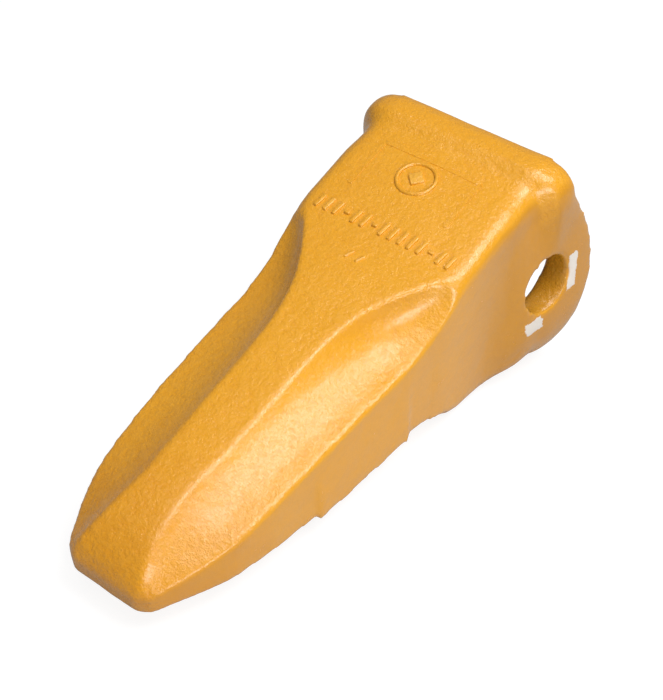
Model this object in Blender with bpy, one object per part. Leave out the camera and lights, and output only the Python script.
"""An excavator bucket tooth: one hollow steel casting and the laminated pin that holds it on its adapter.

The casting is drawn in tooth axes: Y runs from the tip, at 0, to the socket mouth, X is across and Z is up from
the middle plane. It is alike on both sides. Above and below it differs a little: pads thicken the lower part of
its sides, and its ears lean outwards and reach further back towards the bottom. It is then laid down on its
underside, nose down, with the frame's origin in the middle of the land under the collar.
"""

from math import cos, pi, radians, sin, sqrt

import bmesh
import bpy
import numpy as np
from mathutils import Matrix, Vector

MM = 0.001

# Driving sizes of the casting, in millimetres.
TIP_HALF_WIDTH = 19.5
TIP_HALF_HEIGHT = 4.6
REAR_FACE = 320.0
LAND_FRONT = 303.0
LAND_REAR = 312.0
LAND_HEIGHT = 73.5
LAND_HALF_WIDTH = 44.5

# The ears: how far they reach back past the rear face and the half height of that arc, the half height over which
# they bulge sideways and how squarely, and how much their faces lean, as millimetres out for each one down.
EAR_MIDDLE = -3.0
EAR_REACH = 22.0
EAR_ARC_HALF_HEIGHT = 56.0
EAR_HALF_HEIGHT = 51.0
EAR_FULLNESS = 2.6
EAR_INNER_FOOT = 48.0
EAR_OUTER_FOOT = 60.0
EAR_LEAN = 0.138
EAR_LEAN_START = 250.0
EAR_LEAN_END = 288.0

# The casting's sections, from the tip back. Each row is: place, half width, height of the side's edge, half width
# of the ridge, height of the ridge, and how the stretch between the side's edge and the ridge's edge bends, from
# -1, a deep hollow, to 1, a rounded corner.
SECTIONS = (
    (0.0, TIP_HALF_WIDTH, TIP_HALF_HEIGHT, 18.0, TIP_HALF_HEIGHT + 0.4, 0.4),
    (4.0, 25.6, 6.0, 20.0, 10.5, -0.1),
    (15.0, 31.7, 8.0, 17.5, 18.5, -0.2),
    (30.0, 38.0, 11.0, 14.5, 24.5, -0.25),
    (50.0, 43.8, 14.5, 12.5, 28.5, -0.3),
    (82.0, 47.2, 19.0, 14.0, 32.5, -0.35),
    (115.0, 49.4, 22.5, 14.8, 37.8, -0.4),
    (148.0, 51.2, 25.0, 16.2, 43.5, -0.5),
    (168.0, 52.3, 26.0, 19.5, 47.0, -0.65),
    (184.0, 53.5, 29.0, 25.0, 50.0, -0.75),
    (198.0, 54.2, 34.0, 32.5, 52.3, -0.75),
    (210.0, 55.2, 40.5, 40.0, 53.5, -0.65),
    (222.0, 55.4, 46.5, 46.5, 54.8, 0.6),
    (235.0, 55.6, 48.5, 45.5, 57.5, 1.0),
    (255.0, 56.0, 52.0, 44.5, 62.0, 1.0),
    (272.0, 57.0, 52.5, 43.5, 65.0, 1.0),
    (286.0, 57.2, 50.5, 43.0, 66.8, 1.0),
    (294.0, 58.8, 49.0, 43.0, 68.8, 1.0),
    (LAND_FRONT, 67.3, 51.0, LAND_HALF_WIDTH, LAND_HEIGHT, 1.0),
    (LAND_REAR, 68.3, 51.0, LAND_HALF_WIDTH, LAND_HEIGHT, 1.0),
    (REAR_FACE, 67.5, 50.0, 43.5, 71.0, 1.0),
)

# How much rounder the lower corners are than the upper ones: place, millimetres off the side's edge.
LOWER_SHAVE = ((0.0, 0.0), (15.0, 1.6), (50.0, 1.8), (85.0, 0.6), (120.0, 0.0), (200.0, 0.0), (225.0, 1.5),
               (262.0, 5.5), (290.0, 13.0), (LAND_FRONT, 18.0), (REAR_FACE, 19.0))
LAND_SHAVE_SHARE = 0.55
LAND_SHAVE_START = 240.0

# The rings that the casting's skin runs through: evenly along most of it, and closer at the tip and the collar.
EVEN_RINGS = np.linspace(20.0, 288.0, 40).round(2)
TIP_RINGS = (0.0, 1.5, 4.0, 8.0, 13.0)
COLLAR_RINGS = (294.0, 298.5, LAND_FRONT, LAND_REAR, 317.0, REAR_FACE)
LEAST_RING_GAP = 1.2
SIDE_STEPS = 8
HOLLOW_STEPS = 9
RIDGE_STEPS = 4

# The ridge's top is a little crowned, except on the collar's flat lands.
CROWN_SHARE = 0.02
CROWN_END = LAND_FRONT - 3
CROWN_FADE = 12.0

# The ears bulge sideways round the pin hole: place, bulge past the section's half width.
EAR_BULGE = ((252.0, 0.0), (266.0, 2.2), (281.0, 7.6), (288.0, 8.8), (294.0, 8.5), (LAND_FRONT, 2.6),
             (LAND_REAR, 4.4), (REAR_FACE, 6.2))

# The foot: the collar's lower corners stand out past its sides, between these heights.
FOOT_REACH = 7.0
FOOT_TOP = -12.0
FOOT_MIDDLE = -38.0
FOOT_BOTTOM = -56.0
FOOT_START = LAND_FRONT - 5
FOOT_END = LAND_FRONT + 3

# The pads that thicken the lower part of the working half's sides.
PAD_FRONT = 105.0
PAD_REAR = 178.0
PAD_RAMP = 2.5
PAD_RISE = 1.5
PAD_DROP = 4.0

# The socket, from its blind end back: place, half width, half height.
SOCKET = ((112.0, 17.0, 9.0), (150.0, 27.5, 17.5), (200.0, 36.0, 28.0), (250.0, 43.5, 43.0), (280.0, 49.0, 51.5),
          (298.0, 53.5, 54.0), (345.0, 56.0, 58.0))
SOCKET_CORNER = 9.0
SOCKET_CORNER_SHARE = 0.7
SOCKET_CORNER_STEPS = 6
MOUTH_SHARE = 0.6

# The pin hole, through both ears and along X.
HOLE_PLACE = 299.0
HOLE_RADIUS = 18.3
HOLE_SIDES = 48
HOLE_CUTTER_REACH = 100.0

# The retaining pin, which is shorter than the casting is wide across the ears.
PIN_RADIUS = 17.0
PIN_LENGTH = 132.0
PIN_CHAMFER = 4.0
BAR_MIDDLE_SHARE = 0.42
BAR_SIDES = 20
RUBBER_THICKNESS = 8.0
RUBBER_GAP = 0.3
RUBBER_CHAMFER = 1.2
RUBBER_SIDE_INSET = 2.0
RUBBER_END_INSET = 3.0
PIN_REST_SHIFT = -17.0

# How the tooth lies: nose down by the slope from the land under the collar to the ridge near the tip.
LYING_ANGLE = radians(10.0)
LAND_MIDDLE = (LAND_FRONT + LAND_REAR) / 2

# Colours: base colour, metallic, roughness.
PAINT = ((0.72, 0.27, 0.02, 1.0), 0.0, 0.42)
PIN_STEEL = ((0.16, 0.15, 0.14, 1.0), 0.9, 0.5)
RUBBER = ((0.02, 0.02, 0.02, 1.0), 0.0, 0.8)


def clear_scene():
    for thing in list(bpy.data.objects):
        bpy.data.objects.remove(thing, do_unlink=True)


def material(name, finish):
    colour, metallic, roughness = finish
    made = bpy.data.materials.new(name)
    made.use_nodes = True
    shader = made.node_tree.nodes["Principled BSDF"]
    shader.inputs["Base Color"].default_value = colour
    shader.inputs["Metallic"].default_value = metallic
    shader.inputs["Roughness"].default_value = roughness
    made.diffuse_color = colour
    return made


def smooth_value(places, values, at):
    """The value at a place, on a curve through the points that never overshoots them."""
    places = np.asarray(places, float)
    values = np.asarray(values, float)
    steps = np.diff(places)
    rises = np.diff(values) / steps
    slopes = np.zeros(len(places))
    for i in range(1, len(places) - 1):
        before, after = rises[i - 1], rises[i]
        if before * after > 0:
            weight_before = 2 * steps[i] + steps[i - 1]
            weight_after = steps[i] + 2 * steps[i - 1]
            slopes[i] = (weight_before + weight_after) / (weight_before / before + weight_after / after)
    slopes[0] = rises[0]
    slopes[-1] = rises[-1]
    at = min(max(at, places[0]), places[-1])
    i = min(int(np.searchsorted(places, at, side="right")) - 1, len(steps) - 1)
    t = (at - places[i]) / steps[i]
    return float(
        (2 * t**3 - 3 * t**2 + 1) * values[i]
        + (t**3 - 2 * t**2 + t) * steps[i] * slopes[i]
        + (3 * t**2 - 2 * t**3) * values[i + 1]
        + (t**3 - t**2) * steps[i] * slopes[i + 1]
    )


def column(table, index, at):
    return smooth_value([row[0] for row in table], [row[index] for row in table], at)


def soft_step(value, start, end):
    t = min(max((value - start) / (end - start), 0.0), 1.0)
    return t * t * (3 - 2 * t)


def pad_share(place):
    """How much of the side pad there is here: 1 along it and 0 past its ends, with short ramps between."""
    front = soft_step(place, PAD_FRONT - PAD_RAMP, PAD_FRONT)
    rear = 1 - soft_step(place, PAD_REAR, PAD_REAR + PAD_RAMP)
    return front * rear


def with_pad(place, x, z):
    """A point of the section, moved out and down where the side pad thickens the casting."""
    side_edge = column(SECTIONS, 2, place)
    half_width = column(SECTIONS, 1, place)
    near_side = soft_step(abs(x), 0.8 * half_width, half_width)
    rise = PAD_RISE * near_side * pad_share(place) * (1 - soft_step(z, -side_edge, 1.1 * side_edge))
    drop = PAD_DROP * near_side * pad_share(place) * (1 - soft_step(z, -side_edge, -0.6 * side_edge))
    return x + (rise if x > 0 else -rise), z - drop


def ear_bulge(place, z):
    """How far the side stands out past the section's half width, which is most at the ear's middle height."""
    share = sqrt(max(0.0, 1 - abs((z - EAR_MIDDLE) / EAR_HALF_HEIGHT) ** EAR_FULLNESS))
    lean = EAR_LEAN * soft_step(place, EAR_LEAN_START, EAR_LEAN_END) * z
    ear = share * max(0.0, column(EAR_BULGE, 1, place) - lean)
    foot_share = soft_step(-z, -FOOT_TOP, -FOOT_MIDDLE) * (1 - soft_step(-z, -FOOT_MIDDLE, -FOOT_BOTTOM))
    return max(ear, FOOT_REACH * foot_share * soft_step(place, FOOT_START, FOOT_END))


def quarter_section(place, side):
    """A right-hand quarter of the section as (x, z), from the middle of the side to the middle of the ridge.

    The quarter is the upper one when side is 1 and the lower one, turned up, when it is -1.
    """
    half_width, side_edge, ridge_half, ridge_height, bend = (column(SECTIONS, i, place) for i in range(1, 6))
    if side < 0:
        shave = column(LOWER_SHAVE, 1, place)
        side_edge -= shave
        ridge_half -= shave * LAND_SHAVE_SHARE * soft_step(place, LAND_SHAVE_START, LAND_FRONT)
    points = []
    for i in range(SIDE_STEPS):
        z = side_edge * i / SIDE_STEPS
        points.append((half_width + ear_bulge(place, side * z), z))
    start = np.array([half_width + ear_bulge(place, side * side_edge), side_edge])
    end = np.array([ridge_half, ridge_height])
    middle = (start + end) / 2
    corner = np.array([start[0], end[1]])
    control = middle + bend * (corner - middle)
    for i in range(HOLLOW_STEPS):
        t = i / (HOLLOW_STEPS - 1)
        points.append(tuple((1 - t) ** 2 * start + 2 * t * (1 - t) * control + t * t * end))
    crown = CROWN_SHARE * ridge_half * (1 - soft_step(place, CROWN_END - CROWN_FADE, CROWN_END))
    for i in range(1, RIDGE_STEPS + 1):
        x = ridge_half * (1 - i / RIDGE_STEPS)
        points.append((x, ridge_height + crown * (1 - (x / ridge_half) ** 2)))
    return points


def whole_section(place):
    """The full section as (x, z), once round."""
    halves = []
    for side in (1, -1):
        quarter = quarter_section(place, side)
        halves.append(quarter + [(-x, z) for x, z in reversed(quarter[:-1])])
    upper, lower = halves
    turned_down = [(x, -z) for x, z in reversed(lower[1:-1])]
    return [with_pad(place, x, z) for x, z in upper + turned_down]


def ring_places():
    """Where the rings lie. An even ring too near one of the others is left out."""
    kept = [*TIP_RINGS, *COLLAR_RINGS, PAD_FRONT - PAD_RAMP, PAD_FRONT, PAD_REAR, PAD_REAR + PAD_RAMP]
    for place in EVEN_RINGS:
        if min(abs(place - other) for other in kept) > LEAST_RING_GAP:
            kept.append(float(place))
    return sorted(kept)


def skin(name, rings, finish):
    """A closed solid through the rings, which all have the same number of points, with flat ends."""
    mesh = bpy.data.meshes.new(name)
    bm = bmesh.new()
    loops = [[bm.verts.new(point) for point in ring] for ring in rings]
    for near, far in zip(loops, loops[1:]):
        for i in range(len(near)):
            j = (i + 1) % len(near)
            bm.faces.new((near[i], near[j], far[j], far[i]))
    bm.faces.new(reversed(loops[0]))
    bm.faces.new(loops[-1])
    bmesh.ops.recalc_face_normals(bm, faces=bm.faces)
    bm.to_mesh(mesh)
    bm.free()
    made = bpy.data.objects.new(name, mesh)
    bpy.context.scene.collection.objects.link(made)
    if finish:
        made.data.materials.append(finish)
    return made


def ear_reach(x, z):
    """How far the rear edge of the casting's sides stands behind the rear face, at this point of the section."""
    near_side = soft_step(abs(x), EAR_INNER_FOOT, EAR_OUTER_FOOT)
    return EAR_REACH * near_side * max(0.0, 1 - ((z - EAR_MIDDLE) / EAR_ARC_HALF_HEIGHT) ** 2)


def casting_rings():
    rings = []
    for place in ring_places():
        share = soft_step(place, LAND_FRONT - 8, REAR_FACE)
        rings.append([Vector((x, place + share * ear_reach(x, z), z)) * MM for x, z in whole_section(place)])
    # The rear face runs straight in from the outline to a smaller ring that the socket then takes away.
    rings.append([Vector((point.x * MOUTH_SHARE, point.y, point.z * MOUTH_SHARE)) for point in rings[-1]])
    return rings


def socket_rings():
    rings = []
    for place, half_width, half_height in SOCKET:
        ring = []
        radius = min(SOCKET_CORNER, half_height * SOCKET_CORNER_SHARE)
        for sign_x, sign_z, start in ((1, 1, 0), (-1, 1, 90), (-1, -1, 180), (1, -1, 270)):
            for i in range(SOCKET_CORNER_STEPS + 1):
                angle = radians(start + 90 * i / SOCKET_CORNER_STEPS)
                x = sign_x * (half_width - radius) + radius * cos(angle)
                z = sign_z * (half_height - radius) + radius * sin(angle)
                ring.append(Vector((x, place, z)) * MM)
        rings.append(ring)
    return rings


def disc_rings(stations, outline):
    """Rings across X, one at each station, each with this outline, which is (y, z) from the hole's axis."""
    return [[Vector((x, HOLE_PLACE + y, z)) * MM for y, z in outline] for x in stations]


def circle(radius, sides):
    return [(radius * cos(2 * pi * i / sides), radius * sin(2 * pi * i / sides)) for i in range(sides)]


def make_casting(finish):
    casting = skin("tooth_point", casting_rings(), finish)
    hole_rings = disc_rings((-HOLE_CUTTER_REACH, HOLE_CUTTER_REACH), circle(HOLE_RADIUS, HOLE_SIDES))
    cutters = (skin("socket_cutter", socket_rings(), None), skin("pin_hole_cutter", hole_rings, None))
    for cutter in cutters:
        cutter.hide_render = True
        cutter.display_type = "WIRE"
        cut = casting.modifiers.new(cutter.name, "BOOLEAN")
        cut.operation = "DIFFERENCE"
        cut.object = cutter
        cut.solver = "EXACT"
    casting.data.shade_smooth()
    casting.data.set_sharp_from_angle(angle=radians(35))
    return casting, cutters


def half_round(radius, flat):
    """A half-round outline as (y, z), above the flat at this height."""
    reach = sqrt(radius**2 - flat**2)
    start = np.arctan2(flat, reach)
    return [(radius * cos(a), radius * sin(a)) for a in np.linspace(start, pi - start, BAR_SIDES)]


def make_pin_half(name, side, tilt, finish):
    """One steel bar of the pin. Its outline is turned so that the split is level once the tooth lies down."""
    outline = half_round(PIN_RADIUS, RUBBER_THICKNESS / 2)
    turned = []
    for y, z in outline:
        z *= side
        turned.append((y * cos(tilt) - z * sin(tilt), y * sin(tilt) + z * cos(tilt)))
    middle_z = side * (RUBBER_THICKNESS / 2 + BAR_MIDDLE_SHARE * (PIN_RADIUS - RUBBER_THICKNESS / 2))
    middle = (-middle_z * sin(tilt), middle_z * cos(tilt))
    half = PIN_LENGTH / 2
    small = 1 - PIN_CHAMFER / PIN_RADIUS
    rings = []
    for x, size in ((-half, small), (-half + PIN_CHAMFER, 1.0), (half - PIN_CHAMFER, 1.0), (half, small)):
        ring = []
        for y, z in turned:
            shrunk = Vector((middle[0] + (y - middle[0]) * size, middle[1] + (z - middle[1]) * size))
            ring.append(Vector((x + PIN_REST_SHIFT, HOLE_PLACE + shrunk.x, shrunk.y)) * MM)
        rings.append(ring)
    made = skin(name, rings, finish)
    made.data.shade_smooth()
    made.data.set_sharp_from_angle(angle=radians(30))
    return made


def make_rubber(tilt, finish):
    """The rubber strip between the two bars, a little shorter and narrower than they are."""
    half_width = sqrt(PIN_RADIUS**2 - (RUBBER_THICKNESS / 2) ** 2) - RUBBER_SIDE_INSET
    half_height = RUBBER_THICKNESS / 2 - RUBBER_GAP
    half = PIN_LENGTH / 2 - RUBBER_END_INSET
    outline = []
    face_half = half_width - RUBBER_CHAMFER
    for y, z in ((half_width, 0.0), (face_half, half_height), (-face_half, half_height),
                 (-half_width, 0.0), (-face_half, -half_height), (face_half, -half_height)):
        outline.append((y * cos(tilt) - z * sin(tilt), y * sin(tilt) + z * cos(tilt)))
    return skin("pin_rubber", disc_rings((PIN_REST_SHIFT - half, PIN_REST_SHIFT + half), outline), finish)


def lie_down(objects):
    """Parents the pieces to an empty that turns the nose down and puts the collar's land on the origin."""
    empty = bpy.data.objects.new("lying_frame", None)
    bpy.context.scene.collection.objects.link(empty)
    turn = Matrix.Rotation(LYING_ANGLE, 4, "X")
    land = turn @ Vector((0.0, LAND_MIDDLE * MM, -LAND_HEIGHT * MM))
    empty.matrix_world = Matrix.Translation(-land) @ turn
    for thing in objects:
        thing.parent = empty


def main():
    clear_scene()
    paint = material("worn_orange_paint", PAINT)
    steel = material("pin_steel", PIN_STEEL)
    rubber = material("pin_rubber", RUBBER)
    casting, cutters = make_casting(paint)
    lower = make_pin_half("pin_lower_half", -1, -LYING_ANGLE, steel)
    upper = make_pin_half("pin_upper_half", 1, -LYING_ANGLE, steel)
    strip = make_rubber(-LYING_ANGLE, rubber)
    lie_down([casting, *cutters, lower, upper, strip])


main()
